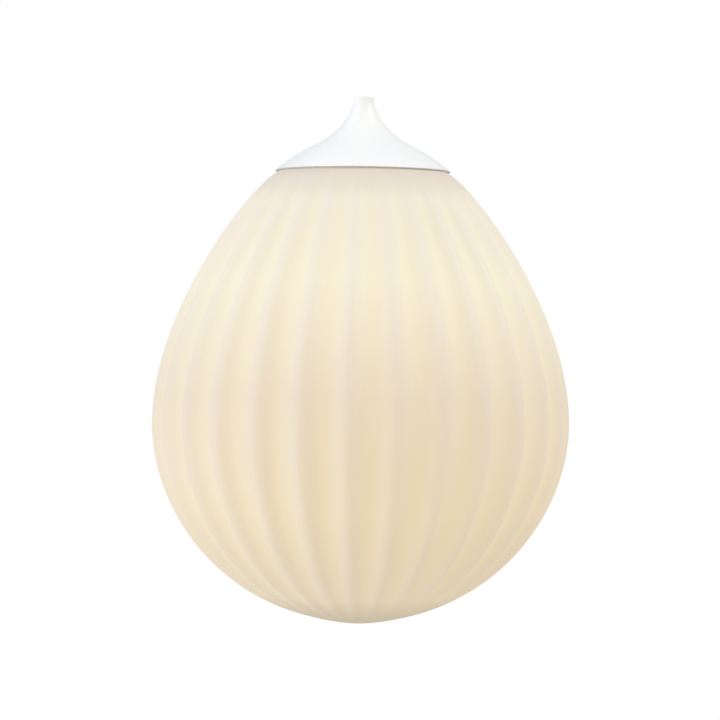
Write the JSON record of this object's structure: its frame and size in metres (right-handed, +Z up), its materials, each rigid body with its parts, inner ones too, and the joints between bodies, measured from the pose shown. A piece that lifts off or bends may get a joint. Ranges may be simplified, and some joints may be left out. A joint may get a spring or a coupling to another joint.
{
  "type": "pendant lamp",
  "caption": "Closed drop-shaped pendant lamp: fluted opal glass shade screwed up under a flared metal cap, with gallery, cord grip, lampholder and LED bulb.",
  "frame": {"origin": "centre of the top face of the cord grip's rubber bush, on the lamp's axis, where the flex leaves the clamp", "axes": "+Z up along the flex, -Z down through the shade; -Y runs through the crest of a flute"},
  "size_m": [0.2512, 0.2512, 0.3154],
  "materials": {
    "opal_glass": "satin, acid etched opal",
    "silicone": "matt translucent white",
    "cap_paint": "gloss white enamel",
    "white_plastic": "semi-gloss moulding",
    "grip_rubber": "matt",
    "zinc_steel": "bright zinc plate",
    "brass": "bright stamped",
    "gallery_steel": "satin white",
    "ceramic": "unglazed steatite, light sheen",
    "shell_metal": "rolled thread",
    "bulb_metal": "nickel plated, rolled thread",
    "bulb_insulation": "black glass",
    "bulb_plastic": "fine satin",
    "bulb_opal": "frosted diffuser",
    "led_board": "white solder mask on aluminium",
    "led_phosphor": "phosphor gel",
    "driver_board": "green solder mask",
    "driver_parts": "moulded parts"
  },
  "bodies": {
    "fitting": {"cord_grip_body": "white_plastic", "cord_grip_nut": "white_plastic", "cord_grip_bush": "grip_rubber", "threaded_tube": "zinc_steel", "lock_nut": "zinc_steel", "tooth_washer": "zinc_steel", "earth_tag": "brass", "earth_screw": "brass", "bridge_plate": "zinc_steel", "gallery_ring": "gallery_steel", "gallery_screws": "zinc_steel", "cap_rest_ring": "silicone", "lampholder_dome": "white_plastic", "lampholder_skirt": "white_plastic", "lampholder_core": "ceramic", "socket_shell": "shell_metal", "socket_contact": "brass", "contact_rivets": "zinc_steel", "terminal_blocks": "brass", "terminal_screws": "zinc_steel"},
    "cap": {"top_cap": "cap_paint", "neck_bush": "white_plastic"},
    "gasket": {"shade_gasket": "silicone"},
    "shade": {"glass_shade": "opal_glass"},
    "bulb_tip": {"bulb_contact": "bulb_metal"},
    "bulb": {"bulb_insulator": "bulb_insulation", "bulb_screw_base": "bulb_metal", "bulb_housing": "bulb_plastic", "bulb_dome": "bulb_opal", "led_board": "led_board", "led_chips": "led_phosphor", "driver_board": "driver_board", "driver_parts": "driver_parts"}
  },
  "joints": [
    {"name": "cap_lift", "type": "slide", "parent": "fitting", "child": "cap", "axis": [0, 0, 1], "range_m": [0, 0.06]},
    {"name": "shade_drop", "type": "slide", "parent": "fitting", "child": "gasket", "axis": [0, 0, -1], "range_m": [0, 0.006]},
    {"name": "shade_turn", "type": "hinge", "parent": "gasket", "child": "shade", "pos_m": [0, 0, -0.03], "axis": [0, 0, -1], "range_deg": [0, 720]},
    {"name": "bulb_drop", "type": "slide", "parent": "fitting", "child": "bulb_tip", "axis": [0, 0, -1], "range_m": [0, 0.01089]},
    {"name": "bulb_turn", "type": "hinge", "parent": "bulb_tip", "child": "bulb", "pos_m": [0, 0, -0.06], "axis": [0, 0, -1], "range_deg": [0, 1080]}
  ],
  "couplings": [
    {"joint": "shade_drop", "follows": "shade_turn", "m_per_rad": 0.00047746},
    {"joint": "bulb_drop", "follows": "bulb_turn", "m_per_rad": 0.00057757}
  ]
}
